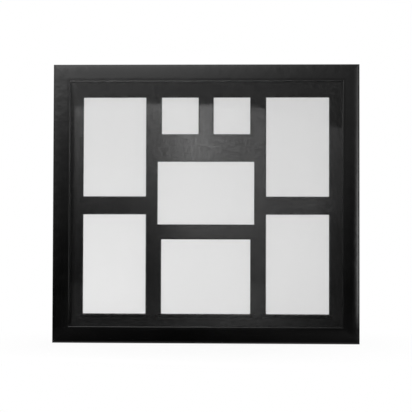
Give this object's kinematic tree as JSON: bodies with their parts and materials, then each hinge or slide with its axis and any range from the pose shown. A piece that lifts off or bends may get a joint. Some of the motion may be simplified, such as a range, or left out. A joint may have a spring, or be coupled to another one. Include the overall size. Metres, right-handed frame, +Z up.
{
  "type": "collage photo frame",
  "caption": "Wall frame with mitred black rails, clear glazing over a black mat with tall, square and wide photo windows, and turn buttons and hangers behind.",
  "frame": {"origin": "middle of the frame's underside, halfway through its whole depth", "axes": "+X to the right as the front is seen, front facing -Y, +Z up"},
  "size_m": [0.4342, 0.0216, 0.3952],
  "materials": {
    "moulding": "satin black wrap on fibreboard",
    "zinc": "bright zinc plate",
    "nickel": "nickel plate",
    "glazing": "clear polished",
    "mat": "matt black, black core",
    "card": "matt white",
    "filler": "corrugated kraft",
    "hardboard": "brown hardboard",
    "bumper": "matt black"
  },
  "bodies": {
    "root": {"frame_rail_top": "moulding", "frame_rail_right": "moulding", "frame_rail_bottom": "moulding", "frame_rail_left": "moulding", "corner_v_nails": "zinc", "turn_button_screws": "zinc", "hanger_screws": "zinc", "hanger_strap_left": "nickel", "hanger_strap_right": "nickel", "glazing_sheet": "glazing", "mat_board": "mat", "photo_card_upper_left": "card", "photo_card_upper_right": "card", "photo_card_lower_left": "card", "photo_card_lower_right": "card", "photo_card_small_left": "card", "photo_card_small_right": "card", "photo_card_middle": "card", "photo_card_bottom": "card", "filler_board": "filler", "back_board": "hardboard", "wall_bumper_left": "bumper", "wall_bumper_right": "bumper"},
    "turn_button_top_left": {"turn_button_top_left": "zinc"},
    "turn_button_top_right": {"turn_button_top_right": "zinc"},
    "turn_button_right_upper": {"turn_button_right_upper": "zinc"},
    "turn_button_right_lower": {"turn_button_right_lower": "zinc"},
    "turn_button_bottom_right": {"turn_button_bottom_right": "zinc"},
    "turn_button_bottom_left": {"turn_button_bottom_left": "zinc"},
    "turn_button_left_lower": {"turn_button_left_lower": "zinc"},
    "turn_button_left_upper": {"turn_button_left_upper": "zinc"},
    "hanger_ring_left": {"hanger_ring_left": "nickel"},
    "hanger_ring_right": {"hanger_ring_right": "nickel"}
  },
  "joints": [
    {"name": "turn_button_top_left_turn", "type": "hinge", "parent": "root", "child": "turn_button_top_left", "pos_m": [-0.1171, 0.00555, 0.3836], "axis": [0, 1, 0], "continuous": true},
    {"name": "turn_button_top_right_turn", "type": "hinge", "parent": "root", "child": "turn_button_top_right", "pos_m": [0.1171, 0.00555, 0.3836], "axis": [0, 1, 0], "continuous": true},
    {"name": "turn_button_right_upper_turn", "type": "hinge", "parent": "root", "child": "turn_button_right_upper", "pos_m": [0.2055, 0.00555, 0.2952], "axis": [0, 1, 0], "continuous": true},
    {"name": "turn_button_right_lower_turn", "type": "hinge", "parent": "root", "child": "turn_button_right_lower", "pos_m": [0.2055, 0.00555, 0.1], "axis": [0, 1, 0], "continuous": true},
    {"name": "turn_button_bottom_right_turn", "type": "hinge", "parent": "root", "child": "turn_button_bottom_right", "pos_m": [0.1171, 0.00555, 0.0116], "axis": [0, 1, 0], "continuous": true},
    {"name": "turn_button_bottom_left_turn", "type": "hinge", "parent": "root", "child": "turn_button_bottom_left", "pos_m": [-0.1171, 0.00555, 0.0116], "axis": [0, 1, 0], "continuous": true},
    {"name": "turn_button_left_lower_turn", "type": "hinge", "parent": "root", "child": "turn_button_left_lower", "pos_m": [-0.2055, 0.00555, 0.1], "axis": [0, 1, 0], "continuous": true},
    {"name": "turn_button_left_upper_turn", "type": "hinge", "parent": "root", "child": "turn_button_left_upper", "pos_m": [-0.2055, 0.00555, 0.2952], "axis": [0, 1, 0], "continuous": true},
    {"name": "hanger_ring_left_swing", "type": "hinge", "parent": "root", "child": "hanger_ring_left", "pos_m": [-0.2083, 0.0076, 0.3432], "axis": [1, 0, 0], "range_deg": [0, 178.7]},
    {"name": "hanger_ring_right_swing", "type": "hinge", "parent": "root", "child": "hanger_ring_right", "pos_m": [0.2083, 0.0076, 0.3432], "axis": [1, 0, 0], "range_deg": [0, 178.7]}
  ]
}
